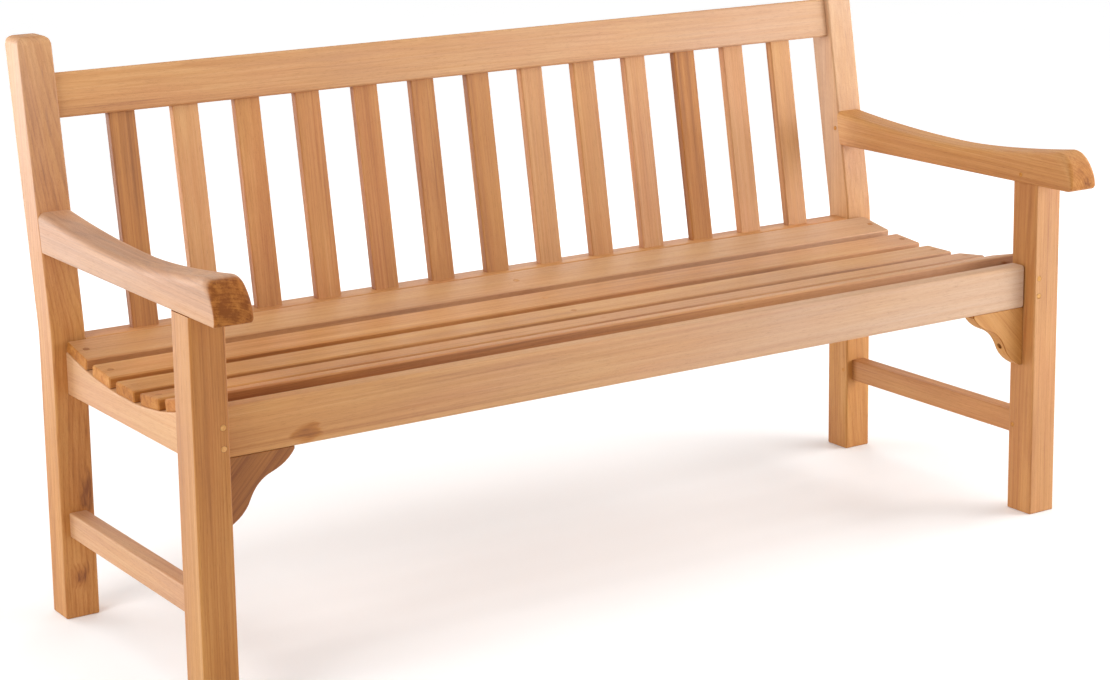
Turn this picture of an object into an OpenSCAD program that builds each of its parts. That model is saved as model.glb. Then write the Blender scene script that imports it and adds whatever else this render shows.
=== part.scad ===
// Slatted garden bench with a raked back and two arms.
// Two end frames carry the long rails; every frame joint is a pegged mortise and tenon.
// +X runs along the seat, +Y towards the back and +Z up. Each part is drawn with y = 0 at the
// front face of the front legs, and place() moves it so that the origin is under the middle.

/* [Overall] */
// Length over the outer faces of the legs
bench_w = 1650; // [1500:10:1800]
// Height of the rear posts
bench_h = 918; // [900:1:940]
// Distance from the front of the front legs to the front of the rear legs
seat_d = 500; // [496:1:504]

/* [Legs] */
// Width of every leg along the seat
leg_w = 56; // [54:1:60]
// Depth of the front legs
front_leg_d = 58; // [56:1:60]
// Thickness of the rear legs, below and above the bend
rear_leg_t = 56; // [54:1:60]
// Lean of the upper part of the rear legs
rake = 9.5; // [9:0.5:10.5]
// Height at which the upper part starts to lean
bend_z = 462; // [458:1:466]
// Radius of the bend on the front face
bend_r = 300; // [200:10:340]
// Rounding of the post tops
post_round = 11; // [6:1:14]

/* [Seat] */
// Height of the lowest line of the dished seat
seat_low_z = 426; // [420:1:432]
// Distance of that line behind the front of the front legs
seat_low_y = 270; // [250:5:290]
// Rise of the seat from that line to its front edge
front_rise = 27; // [22:1:28]
// Rise of the seat from that line to its rear edge
rear_rise = 27; // [15:1:32]
// Number of seat slats
seat_slats = 5; // [5]
// Front edge of the first seat slat
seat_y = 77; // [74:1:80]
// Width of a seat slat
seat_slat_w = 65; // [60:1:66]
// Distance between the front edges of neighbouring seat slats
seat_pitch = 86; // [85:1:87]
// Thickness of a seat slat
seat_slat_t = 19; // [17:1:20]

/* [Rails] */
// Thickness of the front, side and bearer timber
rail_t = 32; // [30:1:34]
// Underside of the front rail
front_rail_z = 370; // [367:1:373]
// Height of the front rail
front_rail_h = 75; // [72:1:78]
// Distance of the front rail behind the front of the legs
front_rail_set = 24; // [20:1:26]
// Underside of the side rails
side_rail_z = 365; // [362:1:368]
// Distance of the side rails inside the outer faces of the legs
side_rail_set = 22; // [20:1:23]
// Depth of the rear rail
rear_rail_d = 45; // [42:1:48]
// Top of the rear rail
rear_rail_top = 451; // [448:1:454]
// Height of the rear rail
rear_rail_h = 70; // [68:1:74]
// Width of the stretchers
stretcher_w = 30; // [26:1:34]
// Height of the stretchers
stretcher_h = 40; // [36:1:44]
// Underside of the stretchers
stretcher_z = 134; // [110:1:150]

/* [Back] */
// Number of back slats
back_slats = 13; // [13]
// Distance between the middles of neighbouring back slats
back_pitch = 110; // [100:1:112]
// Width of a back slat
back_slat_w = 45; // [40:1:50]
// Thickness of a back slat
back_slat_t = 16; // [14:1:18]
// Thickness of the top rail
top_rail_t = 30; // [28:1:32]
// Height of the top rail, measured along the lean
top_rail_h = 71; // [66:1:76]
// Distance from the bend up to the top rail, measured along the lean
top_rail_rise = 334; // [328:1:340]
// Distance of the top rail behind the front of the posts
top_rail_set = 9; // [7:1:11]

/* [Arms] */
// Width of an arm
arm_w = 60; // [60:1:64]
// Underside of the arms
arm_z = 589; // [584:1:594]
// Height of an arm where it meets the rear post
arm_rear_h = 62; // [60:1:68]
// Least height of an arm
arm_waist_h = 42; // [38:1:46]
// Height of an arm over the front leg
arm_front_h = 64; // [58:1:68]
// Distance of the waist behind the front of the front legs
arm_waist_y = 215; // [190:5:240]
// Reach of the arm in front of the front leg
arm_nose = 84; // [78:1:90]

/* [Brackets] */
// Reach of a bracket along the front rail
bracket_w = 115; // [110:1:122]
// Reach of a bracket down the leg
bracket_h = 103; // [98:1:108]
// Thickness of a bracket
bracket_t = 26; // [22:1:28]

/* [Pegs and screws] */
// Diameter of the pegs in the rails
peg_d = 9; // [8:0.5:9.5]
// Diameter of the pegs in the arms and stretchers
small_peg_d = 8; // [7:0.5:8.5]
// Diameter of the plugs over the seat screws
plug_d = 10; // [9:0.5:11]
// Diameter of a screw shank
screw_d = 4.5; // [4:0.5:5]

/* [Hidden] */
$fn = 48;
teak = [0.82, 0.60, 0.40];
teak_light = [0.87, 0.68, 0.49];
end_grain = [0.62, 0.41, 0.24];
steel = [0.55, 0.54, 0.52];

// Clearances: around a tenon, at the end of a tenon, and around a peg, plug or screw
fit = 0.2;
end_gap = 1;
round_fit = 0.15;
// Tenons: thickness, setback from a rail's edges, length, and the short ones of the side rails
tenon_t = 12;
shoulder = 9;
tenon_l = 32;
stub_l = 14;
rear_stub_l = 26;
// Depth by which back slats are let into the rails
slat_housing = 16;
// Small overlap that keeps cuts open
eps = 0.1;

half_w = bench_w / 2;
leg_x = half_w - leg_w;
leg_cx = half_w - leg_w / 2;
side_rail_x = half_w - side_rail_set - rail_t;
side_rail_cx = side_rail_x + rail_t / 2;
front_rail_top = front_rail_z + front_rail_h;
rear_rail_z = rear_rail_top - rear_rail_h;
back_tan = tan(rake);
// Where a post's leaning front face stands at height z
function post_front_y(z) = seat_d + (z - bend_z) * back_tan;

// The rear face of a post, at the height where its top rounding starts
post_back_y = post_front_y(bench_h - post_round) + rear_leg_t / cos(rake);
rear_most_y = post_back_y - post_round / cos(rake) + post_round;
mid_y = (rear_most_y - arm_nose) / 2;

// Front and rear top edges of the seat slats: the last one runs back almost to the rear rail
last_slat_gap = 5;
function slat_y(i) = seat_y + i * seat_pitch;
function slat_end_y(i) = i == seat_slats - 1 ? seat_d - last_slat_gap : slat_y(i) + seat_slat_w;

// Height of the dished seat: one parabola to the front of the lowest line, another behind it
function dish(y) =
    let (reach = y < seat_low_y ? seat_low_y - seat_y : seat_d - seat_low_y,
         rise = y < seat_low_y ? front_rise : rear_rise)
    seat_low_z + rise * pow((y - seat_low_y) / reach, 2);

function slat_run(i) = [slat_end_y(i) - slat_y(i), dish(slat_end_y(i)) - dish(slat_y(i))];
function slat_chord(i) = norm(slat_run(i));
function slat_tilt(i) = atan2(slat_run(i)[1], slat_run(i)[0]);
// A point under slat i, at a distance along its width
function under_slat(i, along) =
    let (a = slat_tilt(i))
    [slat_y(i) + along * cos(a) + seat_slat_t * sin(a),
     dish(slat_y(i)) + along * sin(a) - seat_slat_t * cos(a)];

// An arc as points, and the corner b of an outline a-b-c rounded to radius r
function arc(centre, r, from, to, n) =
    [for (i = [0:n]) let (a = from + (to - from) * i / n) centre + r * [cos(a), sin(a)]];
function turn(a) = a > 180 ? a - 360 : a < -180 ? a + 360 : a;
function corner(a, b, c, r, n = 6) =
    let (u = (a - b) / norm(a - b),
         v = (c - b) / norm(c - b),
         half = acos(u * v) / 2,
         centre = b + (u + v) / norm(u + v) * r / sin(half),
         first = b + u * r / tan(half) - centre,
         last = b + v * r / tan(half) - centre,
         start = atan2(first[1], first[0]))
    arc(centre, r, start, start + turn(atan2(last[1], last[0]) - start), n);

// A quadratic curve from a to c, pulled towards b
function bow(a, b, c, n) =
    [for (i = [0:n]) let (t = i / n) (1 - t) * (1 - t) * a + 2 * t * (1 - t) * b + t * t * c];

// ---- placing ----

module place() {
    translate([0, -mid_y, 0]) children();
}

module left_side() {
    mirror([1, 0, 0]) children();
}

module both_sides() {
    children();
    mirror([1, 0, 0]) children();
}

// An outline drawn in Y and Z, standing from x to x + w
module side_profile(x, w) {
    translate([x, 0, 0]) rotate([90, 0, 90]) linear_extrude(w) children();
}

// The leaning plane of the posts' front faces: y is depth into the back, z runs up the lean
module on_back() {
    translate([0, seat_d, bend_z]) rotate([-rake, 0, 0]) children();
}

// The top face of seat slat i: y runs across the slat, z is its normal
module on_slat(i) {
    translate([0, slat_y(i), dish(slat_y(i))]) rotate([slat_tilt(i), 0, 0]) children();
}

module box(low, high) {
    translate(low) cube(high - low);
}

// The same box grown on every side
module grown_box(low, high, by) {
    box([for (v = low) v - by], [for (v = high) v + by]);
}

// Round stock along +X, +Y or +Z
module bar_x(p, d, l) {
    translate(p) rotate([0, 90, 0]) cylinder(d = d, h = l);
}

module bar_y(p, d, l) {
    translate(p) rotate([-90, 0, 0]) cylinder(d = d, h = l);
}

// ---- tenons: grow is 0 for the tenon and fit for its mortise ----

front_tenon_y = front_rail_set + 4;

module front_rail_tenon(grow = 0) {
    grown_box([leg_x - eps, front_tenon_y, front_rail_z + shoulder],
              [leg_x + tenon_l + grow * end_gap / fit, front_tenon_y + tenon_t, front_rail_top - shoulder], grow);
}

rear_tenon_low = rear_rail_top - 38;

module rear_rail_tenon(grow = 0) {
    grown_box([leg_x - eps, seat_d + 20, rear_tenon_low],
              [leg_x + tenon_l + grow * end_gap / fit, seat_d + 20 + tenon_t, rear_rail_top - 8], grow);
}

side_tenon_x = side_rail_cx - tenon_t / 2;
side_tenon_low = side_rail_z + shoulder;
side_tenon_high = rear_tenon_low - 8;

module side_rail_tenons(grow = 0) {
    reach = grow * end_gap / fit;
    grown_box([side_tenon_x, front_leg_d - stub_l - reach, side_tenon_low],
              [side_tenon_x + tenon_t, front_leg_d + eps, side_tenon_high], grow);
    grown_box([side_tenon_x, seat_d - eps, side_tenon_low],
              [side_tenon_x + tenon_t, seat_d + rear_stub_l + reach, side_tenon_high], grow);
}

module stretcher_tenons(grow = 0) {
    reach = grow * end_gap / fit;
    x = leg_cx - tenon_t / 2;
    low = stretcher_z + shoulder;
    high = stretcher_z + stretcher_h - shoulder;
    grown_box([x, front_leg_d - stub_l - 6 - reach, low], [x + tenon_t, front_leg_d + eps, high], grow);
    grown_box([x, seat_d - eps, low], [x + tenon_t, seat_d + stub_l + 6 + reach, high], grow);
}

top_tenon_y = top_rail_set + top_rail_t / 2 - tenon_t / 2;

module top_rail_tenon(grow = 0) {
    on_back()
        grown_box([leg_x - eps, top_tenon_y, top_rail_rise + shoulder],
                  [leg_x + tenon_l + grow * end_gap / fit, top_tenon_y + tenon_t,
                   top_rail_rise + top_rail_h - shoulder], grow);
}

// The arm's tenon in the rear post, and the front leg's tenon in the arm
arm_tenon_low = arm_z + 12;
arm_tenon_high = arm_z + 46;

module arm_tenon(grow = 0) {
    grown_box([leg_cx - tenon_t / 2, seat_d, arm_tenon_low],
              [leg_cx + tenon_t / 2, seat_d + 60 + grow * end_gap / fit, arm_tenon_high], grow);
}

leg_tenon_w = 28;
leg_tenon_d = 34;
leg_tenon_h = 30;

module leg_tenon(grow = 0) {
    grown_box([leg_cx - leg_tenon_w / 2, (front_leg_d - leg_tenon_d) / 2, arm_z - eps],
              [leg_cx + leg_tenon_w / 2, (front_leg_d + leg_tenon_d) / 2,
               arm_z + leg_tenon_h + grow * end_gap / fit], grow);
}

// The bearer's short tenons in the front and rear rails
bearer_z = front_rail_z + 2;
bearer_stub = 12;

module bearer_tenons(grow = 0) {
    reach = grow * end_gap / fit;
    low = bearer_z + 12;
    high = bearer_z + 34;
    y = front_rail_set + rail_t;
    grown_box([-tenon_t / 2, y - bearer_stub - reach, low], [tenon_t / 2, y + eps, high], grow);
    grown_box([-tenon_t / 2, seat_d - eps, low], [tenon_t / 2, seat_d + bearer_stub + reach, high], grow);
}

// ---- pegs: the same module drills the holes, with grow = round_fit ----

peg_inset = 10;
side_peg_z = (side_tenon_low + side_tenon_high) / 2;
peg_reach = leg_w - 22;

module front_rail_peg_bars(grow = 0) {
    for (z = [front_rail_z + 23, front_rail_z + 54])
        bar_y([leg_x + peg_inset, -grow, z], peg_d + 2 * grow, front_tenon_y + tenon_t + 1 + 2 * grow);
}

module back_rail_peg_bars(grow = 0) {
    x = leg_x + peg_inset + 2;
    rear_peg_y = seat_d + 15;
    bar_y([x, rear_peg_y - grow, rear_rail_top - 23], peg_d + 2 * grow,
          seat_d + rear_leg_t - rear_peg_y + 2 * grow);
    on_back()
        for (z = [top_rail_rise + 22, top_rail_rise + top_rail_h - 22])
            bar_y([x, top_tenon_y - 4 - grow, z], peg_d + 2 * grow,
                  rear_leg_t - top_tenon_y + 4 + 2 * grow);
}

module side_rail_peg_bars(grow = 0) {
    for (y = [front_leg_d - stub_l / 2, seat_d + 11])
        bar_x([leg_x - grow, y, side_peg_z], small_peg_d + 2 * grow, peg_reach + 2 * grow);
}

module stretcher_peg_bars(grow = 0) {
    for (y = [front_leg_d - 10, seat_d + 10])
        bar_x([leg_x - grow, y, stretcher_z + stretcher_h / 2], small_peg_d + 2 * grow,
              peg_reach + 6 + 2 * grow);
}

arm_x = half_w - arm_w;
arm_peg_z = arm_z + 14;
arm_peg_y = front_leg_d / 2 + 7;

module arm_front_peg_bar(grow = 0) {
    bar_x([arm_x - grow, arm_peg_y, arm_peg_z], small_peg_d + 2 * grow, arm_w - 12 + 2 * grow);
}

module arm_rear_peg_bar(grow = 0) {
    z = (arm_tenon_low + arm_tenon_high) / 2;
    y = post_front_y(z) + 14;
    bar_x([leg_x - grow, y, z], small_peg_d + 2 * grow, leg_w - 12 + 2 * grow);
}

// ---- screws: a countersunk head with a cross recess, on a pointed shank along -Z ----

head_d = 8.4;
head_h = 3;
screw_tip = 5;

module screw(length) {
    difference() {
        union() {
            translate([0, 0, -head_h]) cylinder(d1 = screw_d, d2 = head_d, h = head_h);
            translate([0, 0, screw_tip - length]) cylinder(d = screw_d, h = length - screw_tip - head_h + eps);
            translate([0, 0, -length]) cylinder(d1 = 0.6, d2 = screw_d, h = screw_tip + eps);
        }
        for (a = [0, 90])
            rotate([0, 0, a]) translate([-2.4, -0.5, -1.8]) cube([4.8, 1, 2]);
    }
}

// The hole that a screw of that length needs, open above the head for a plug or a driver
module screw_hole(length, open) {
    translate([0, 0, -length - round_fit]) cylinder(d = screw_d + 2 * round_fit, h = length);
    translate([0, 0, -head_h - round_fit])
        cylinder(d = plug_d + 2 * round_fit, h = open + head_h + round_fit);
}

// Seat screws stand square to each slat, over the side rails and the bearer
seat_screw_l = 40;
plug_h = 6;
seat_screw_x = [-side_rail_cx, 0, side_rail_cx];

module at_seat_screws(xs = seat_screw_x) {
    for (i = [0:seat_slats - 1])
        on_slat(i)
            for (x = xs)
                translate([x, slat_chord(i) / 2, -plug_h]) children();
}

module seat_screw_holes(xs) {
    at_seat_screws(xs) screw_hole(seat_screw_l, plug_h + eps);
}

// Bracket screws: one level into the leg, one upright into the rail, from the curved edge
bracket_y = front_rail_set + (rail_t - bracket_t) / 2;
bracket_screw_l = 44;
leg_screw_drop = 66;
rail_screw_reach = 80;
screw_seat = 20;

module at_bracket_screws() {
    translate([leg_x - screw_seat, bracket_y + bracket_t / 2, front_rail_z - leg_screw_drop])
        rotate([0, -90, 0]) children();
    translate([leg_x - rail_screw_reach, bracket_y + bracket_t / 2, front_rail_z - screw_seat])
        rotate([180, 0, 0]) children();
}

module bracket_screw_holes() {
    at_bracket_screws() screw_hole(bracket_screw_l, bracket_w);
}

// ---- end frames ----

// The sawn outline: a straight foot, a concentric bend and a leaning post with rounded top
module rear_leg_outline() {
    centre = [seat_d + bend_r, bend_z - bend_r * tan(rake / 2)];
    front_top = [post_front_y(bench_h), bench_h];
    back_top = front_top + [rear_leg_t / cos(rake), 0];
    front_bend = arc(centre, bend_r, 180, 180 - rake, 6);
    back_bend = arc(centre, bend_r - rear_leg_t, 180 - rake, 180, 6);
    polygon(concat(
        [[seat_d + rear_leg_t, 0], [seat_d, 0]],
        front_bend,
        corner(front_bend[6], front_top, back_top, post_round),
        corner(front_top, back_top, back_bend[0], post_round),
        back_bend));
}

// The post top is rounded the other way as well
module post_top_mask() {
    low = bend_z + 300;
    translate([0, seat_d + 200, 0]) rotate([90, 0, 0]) linear_extrude(400)
        polygon(concat(
            [[half_w, 0], [half_w, low]],
            corner([half_w, low], [half_w, bench_h], [leg_x, bench_h], post_round),
            corner([half_w, bench_h], [leg_x, bench_h], [leg_x, low], post_round),
            [[leg_x, 0]]));
}

module rear_leg() {
    color(teak) place() difference() {
        intersection() {
            side_profile(leg_x, leg_w) rear_leg_outline();
            post_top_mask();
        }
        rear_rail_tenon(fit);
        side_rail_tenons(fit);
        stretcher_tenons(fit);
        top_rail_tenon(fit);
        arm_tenon(fit);
        back_rail_peg_bars(round_fit);
        side_rail_peg_bars(round_fit);
        stretcher_peg_bars(round_fit);
        arm_rear_peg_bar(round_fit);
    }
}

module front_leg() {
    color(teak_light) place() difference() {
        union() {
            box([leg_x, 0, 0], [half_w, front_leg_d, arm_z]);
            leg_tenon();
        }
        front_rail_tenon(fit);
        side_rail_tenons(fit);
        stretcher_tenons(fit);
        front_rail_peg_bars(round_fit);
        side_rail_peg_bars(round_fit);
        stretcher_peg_bars(round_fit);
        arm_front_peg_bar(round_fit);
        bracket_screw_holes();
    }
}

// Height of the arm's top: it falls from the post to the waist and rises again to the front
nose_start = -42;
nose_foot = 9;
arm_root_y = post_front_y(arm_z + arm_rear_h);

function arm_top(y) =
    y > arm_waist_y
    ? arm_z + arm_waist_h + (arm_rear_h - arm_waist_h) * pow((y - arm_waist_y) / (arm_root_y - arm_waist_y), 1.9)
    : arm_z + arm_waist_h + (arm_front_h - arm_waist_h) * pow((arm_waist_y - y) / (arm_waist_y - nose_start), 1.6);

module armrest_outline() {
    top_steps = 20;
    nose_reach = arm_nose + nose_start;
    nose_drop = arm_front_h - nose_foot;
    polygon(concat(
        [for (i = [0:top_steps]) let (y = arm_root_y + (nose_start - arm_root_y) * i / top_steps) [y, arm_top(y)]],
        [for (i = [1:10]) [nose_start - nose_reach * sin(9 * i), arm_z + nose_foot + nose_drop * cos(9 * i)]],
        arc([nose_foot - arm_nose, arm_z + nose_foot], nose_foot, 180, 270, 6),
        [[post_front_y(arm_z), arm_z]]));
}

module armrest() {
    color(teak_light) place() difference() {
        union() {
            side_profile(arm_x, arm_w) armrest_outline();
            arm_tenon();
        }
        leg_tenon(fit);
        arm_front_peg_bar(round_fit);
        arm_rear_peg_bar(round_fit);
    }
}

// The rails under the seat have a flat for each slat, joined by short slopes
function slat_flats() =
    [for (i = [0:seat_slats - 1]) each [under_slat(i, 0), under_slat(i, slat_chord(i))]];

module dished_outline(front, back, low) {
    flats = slat_flats();
    polygon(concat(
        [[back, low], [front, low], [front, flats[0][1]]],
        flats,
        [[back, flats[len(flats) - 1][1]]]));
}

module side_rail() {
    color(teak_light) place() difference() {
        union() {
            side_profile(side_rail_x, rail_t) dished_outline(front_leg_d, seat_d, side_rail_z);
            side_rail_tenons();
        }
        side_rail_peg_bars(round_fit);
        seat_screw_holes([side_rail_cx]);
    }
}

module side_stretcher() {
    color(teak) place() difference() {
        union() {
            box([leg_cx - stretcher_w / 2, front_leg_d, stretcher_z],
                [leg_cx + stretcher_w / 2, seat_d, stretcher_z + stretcher_h]);
            stretcher_tenons();
        }
        stretcher_peg_bars(round_fit);
    }
}

// ---- long rails ----

module front_rail() {
    color(teak_light) place() difference() {
        union() {
            box([-leg_x, front_rail_set, front_rail_z], [leg_x, front_rail_set + rail_t, front_rail_top]);
            both_sides() front_rail_tenon();
        }
        bearer_tenons(fit);
        both_sides() front_rail_peg_bars(round_fit);
        both_sides() bracket_screw_holes();
    }
}

// Back slats stand between the two rails, let into both by their full section
slat_set = top_rail_set + (top_rail_t - back_slat_t) / 2;
slat_foot = (rear_rail_top - bend_z + slat_set * sin(rake)) / cos(rake) - slat_housing;
slat_head = top_rail_rise + slat_housing;

module back_slat_bar(i, grow = 0) {
    x = (i - (back_slats - 1) / 2) * back_pitch;
    on_back()
        grown_box([x - back_slat_w / 2, slat_set, slat_foot - grow * end_gap / fit],
                  [x + back_slat_w / 2, slat_set + back_slat_t, slat_head + grow * end_gap / fit], grow);
}

module rear_rail() {
    color(teak) place() difference() {
        union() {
            box([-leg_x, seat_d, rear_rail_z], [leg_x, seat_d + rear_rail_d, rear_rail_top]);
            both_sides() rear_rail_tenon();
        }
        bearer_tenons(fit);
        both_sides() back_rail_peg_bars(round_fit);
        for (i = [0:back_slats - 1]) back_slat_bar(i, fit);
    }
}

module top_rail() {
    color(teak) place() difference() {
        union() {
            on_back()
                box([-leg_x, top_rail_set, top_rail_rise],
                    [leg_x, top_rail_set + top_rail_t, top_rail_rise + top_rail_h]);
            both_sides() top_rail_tenon();
        }
        both_sides() back_rail_peg_bars(round_fit);
        for (i = [0:back_slats - 1]) back_slat_bar(i, fit);
    }
}

module back_slat(i) {
    color(teak) place() back_slat_bar(i);
}

// ---- seat ----

module seat_bearer() {
    color(teak) place() difference() {
        union() {
            side_profile(-rail_t / 2, rail_t)
                dished_outline(front_rail_set + rail_t, seat_d, bearer_z);
            bearer_tenons();
        }
        seat_screw_holes([0]);
    }
}

module seat_slat(i) {
    reach = half_w - side_rail_set;
    color(teak) place() difference() {
        on_slat(i) box([-reach, 0, -seat_slat_t], [reach, slat_chord(i), 0]);
        seat_screw_holes(seat_screw_x);
    }
}

// ---- brackets ----

// Two lobes with a hollow between them, drawn from the inner corner: x along the rail, y down
module bracket_outline() {
    lobe = [0.66 * bracket_w, 0.32 * bracket_h];
    hollow = [0.36 * bracket_w, 0.66 * bracket_h];
    rail_lobe = bow([bracket_w, 4], [0.90 * bracket_w, 0.22 * bracket_h], lobe, 6);
    cove = bow(lobe, [0.46 * bracket_w, 0.40 * bracket_h], hollow, 8);
    leg_lobe = bow(hollow, [0.29 * bracket_w, 0.86 * bracket_h], [6, bracket_h], 6);
    polygon(concat([[0, 0], [bracket_w, 0]], rail_lobe, cove, leg_lobe, [[0, bracket_h]]));
}

module corner_bracket() {
    color(teak) place() difference() {
        translate([leg_x, bracket_y, front_rail_z]) rotate([-90, 0, 0]) mirror([1, 0, 0])
            linear_extrude(bracket_t) bracket_outline();
        bracket_screw_holes();
    }
}

// ---- small pieces ----

module front_rail_pegs() {
    color(end_grain) place() both_sides() front_rail_peg_bars();
}

module back_rail_pegs() {
    color(end_grain) place() both_sides() back_rail_peg_bars();
}

module side_rail_pegs() {
    color(end_grain) place() both_sides() side_rail_peg_bars();
}

module stretcher_pegs() {
    color(end_grain) place() both_sides() stretcher_peg_bars();
}

module arm_pegs() {
    color(end_grain) place() both_sides() {
        arm_front_peg_bar();
        arm_rear_peg_bar();
    }
}

module seat_screws() {
    color(steel) place() at_seat_screws() screw(seat_screw_l);
}

module seat_plugs() {
    color(teak) place() at_seat_screws() cylinder(d = plug_d, h = plug_h);
}

module bracket_screws() {
    color(steel) place() both_sides() at_bracket_screws() screw(bracket_screw_l);
}

left_side() rear_leg();  // rear_leg_left
rear_leg();  // rear_leg_right
left_side() front_leg();  // front_leg_left
front_leg();  // front_leg_right
left_side() armrest();  // armrest_left
armrest();  // armrest_right
left_side() side_rail();  // side_rail_left
side_rail();  // side_rail_right
left_side() side_stretcher();  // side_stretcher_left
side_stretcher();  // side_stretcher_right
front_rail();
rear_rail();
top_rail();
seat_bearer();
left_side() corner_bracket();  // corner_bracket_left
corner_bracket();  // corner_bracket_right
for (i = [1:seat_slats])
    seat_slat(i - 1);
for (i = [1:back_slats])
    back_slat(i - 1);
front_rail_pegs();
back_rail_pegs();
side_rail_pegs();
stretcher_pegs();
arm_pegs();
seat_screws();
seat_plugs();
bracket_screws();
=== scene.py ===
import math
import random

import bmesh
import bpy
import numpy as np
from mathutils import Matrix, Vector


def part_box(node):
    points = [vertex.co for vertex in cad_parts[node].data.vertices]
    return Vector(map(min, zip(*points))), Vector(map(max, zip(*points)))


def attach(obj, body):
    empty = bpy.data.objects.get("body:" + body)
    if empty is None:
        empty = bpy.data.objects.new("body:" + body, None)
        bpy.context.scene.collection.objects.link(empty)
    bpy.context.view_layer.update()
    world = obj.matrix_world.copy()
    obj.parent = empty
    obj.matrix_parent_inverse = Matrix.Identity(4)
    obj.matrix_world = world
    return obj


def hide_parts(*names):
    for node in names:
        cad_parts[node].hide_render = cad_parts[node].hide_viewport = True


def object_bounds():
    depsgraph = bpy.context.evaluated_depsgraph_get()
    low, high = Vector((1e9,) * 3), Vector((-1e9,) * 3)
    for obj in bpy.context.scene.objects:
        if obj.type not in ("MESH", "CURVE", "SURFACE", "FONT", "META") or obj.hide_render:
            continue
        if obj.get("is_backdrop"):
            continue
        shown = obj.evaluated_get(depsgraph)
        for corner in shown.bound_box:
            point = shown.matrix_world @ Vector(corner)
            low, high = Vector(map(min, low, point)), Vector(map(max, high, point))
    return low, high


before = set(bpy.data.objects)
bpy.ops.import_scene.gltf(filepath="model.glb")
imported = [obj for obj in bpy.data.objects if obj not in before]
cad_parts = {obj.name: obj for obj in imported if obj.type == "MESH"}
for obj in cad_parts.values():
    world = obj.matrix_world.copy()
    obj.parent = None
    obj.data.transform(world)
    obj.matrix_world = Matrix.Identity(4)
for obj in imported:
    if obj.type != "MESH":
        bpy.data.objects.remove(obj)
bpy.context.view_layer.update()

X, Y, Z = 0, 1, 2
MM = 0.001

# What a face of a board is while the board is made
FLAT, EASED, BORED = 0, 1, 2


# ---- places on the bench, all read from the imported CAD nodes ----

# Points of a CAD mesh that are closer than this are one point
WELD = 1e-6
LEG_LOW, LEG_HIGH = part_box("front_leg_right")
LEG_X, HALF_W = LEG_LOW.x, LEG_HIGH.x
ARM_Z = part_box("armrest_right")[0].z
REAR_LOW, REAR_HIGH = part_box("rear_leg_right")


def profile(node, axis, at):
    """The outer loop of a CAD node's flat face that lies across axis at that coordinate."""
    bm = bmesh.new()
    bm.from_mesh(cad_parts[node].data)
    bmesh.ops.remove_doubles(bm, verts=bm.verts, dist=WELD)
    bm.normal_update()
    faces = {f for f in bm.faces
             if abs(f.normal[axis]) > 0.999 and abs(f.calc_center_median()[axis] - at) < 0.02 * MM}
    rim = {}
    for e in bm.edges:
        if sum(f in faces for f in e.link_faces) == 1:
            for a, b in (e.verts, reversed(e.verts)):
                rim.setdefault(a, []).append(b)
    loops, seen = [], set()
    for start in rim:
        if start in seen:
            continue
        loop, here, last = [], start, None
        while here not in seen:
            seen.add(here)
            loop.append(here.co.copy())
            step = [v for v in rim[here] if v is not last and v not in seen]
            last, here = here, step[0] if step else here
        loops.append(loop)

    def spread(loop):
        return sum(max(p[i] for p in loop) - min(p[i] for p in loop) for i in range(3))

    loop = max(loops, key=spread)
    bm.free()
    kept = []
    for i, p in enumerate(loop):
        before, after = p - loop[i - 1], loop[(i + 1) % len(loop)] - p
        if before.angle(after, 0) > math.radians(0.3):
            kept.append(p)
    return kept


# ---- making a board ----

def with_slots(mesh):
    """The mesh with a slot for each kind of face."""
    for _ in (FLAT, EASED, BORED):
        mesh.materials.append(None)
    return mesh


def mesh_from(bm, name):
    mesh = bpy.data.meshes.new(name)
    bm.to_mesh(mesh)
    bm.free()
    return mesh


def prism(loop, axis, low, high):
    """A closed mesh: the loop swept along axis from low to high."""
    bm = bmesh.new()
    ends = []
    for at in (low, high):
        ring = []
        for p in loop:
            q = p.copy()
            q[axis] = at
            ring.append(bm.verts.new(q))
        ends.append(ring)
    bm.faces.new(ends[0])
    bm.faces.new(list(reversed(ends[1])))
    count = len(loop)
    for i in range(count):
        j = (i + 1) % count
        bm.faces.new([ends[0][i], ends[1][i], ends[1][j], ends[0][j]])
    bmesh.ops.recalc_face_normals(bm, faces=bm.faces)
    return bm


def settled(mesh, *modifiers):
    """The mesh as it comes out of these modifiers, each (kind, settings)."""
    obj = bpy.data.objects.new("work", mesh)
    bpy.context.scene.collection.objects.link(obj)
    for kind, settings in modifiers:
        m = obj.modifiers.new(kind, kind)
        for key, value in settings.items():
            setattr(m, key, value)
    bpy.context.view_layer.update()
    made = bpy.data.meshes.new_from_object(obj.evaluated_get(bpy.context.evaluated_depsgraph_get()))
    bpy.data.objects.remove(obj)
    return made


ROD_SIDES = 32


def rod(bm, start, end, radius, ease=0.0):
    """Adds a round bar from start to end, with an eased rim at its start."""
    way = (end - start).normalized()
    turn = way.to_track_quat("Z", "Y").to_matrix()
    length = (end - start).length
    rings = [(0.0, radius)]
    if ease:
        rings = [(0.0, radius - ease), (ease * 0.3, radius - ease * 0.3), (ease, radius)]
    rings.append((length, radius))
    made = []
    for at, r in rings:
        made.append([bm.verts.new(start + turn @ Vector((r * math.cos(a), r * math.sin(a), at)))
                     for a in (2 * math.pi * k / ROD_SIDES for k in range(ROD_SIDES))])
    bm.faces.new(list(reversed(made[0])))
    bm.faces.new(made[-1])
    for low, high in zip(made, made[1:]):
        for k in range(ROD_SIDES):
            j = (k + 1) % ROD_SIDES
            bm.faces.new([low[k], low[j], high[j], high[k]])


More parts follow.
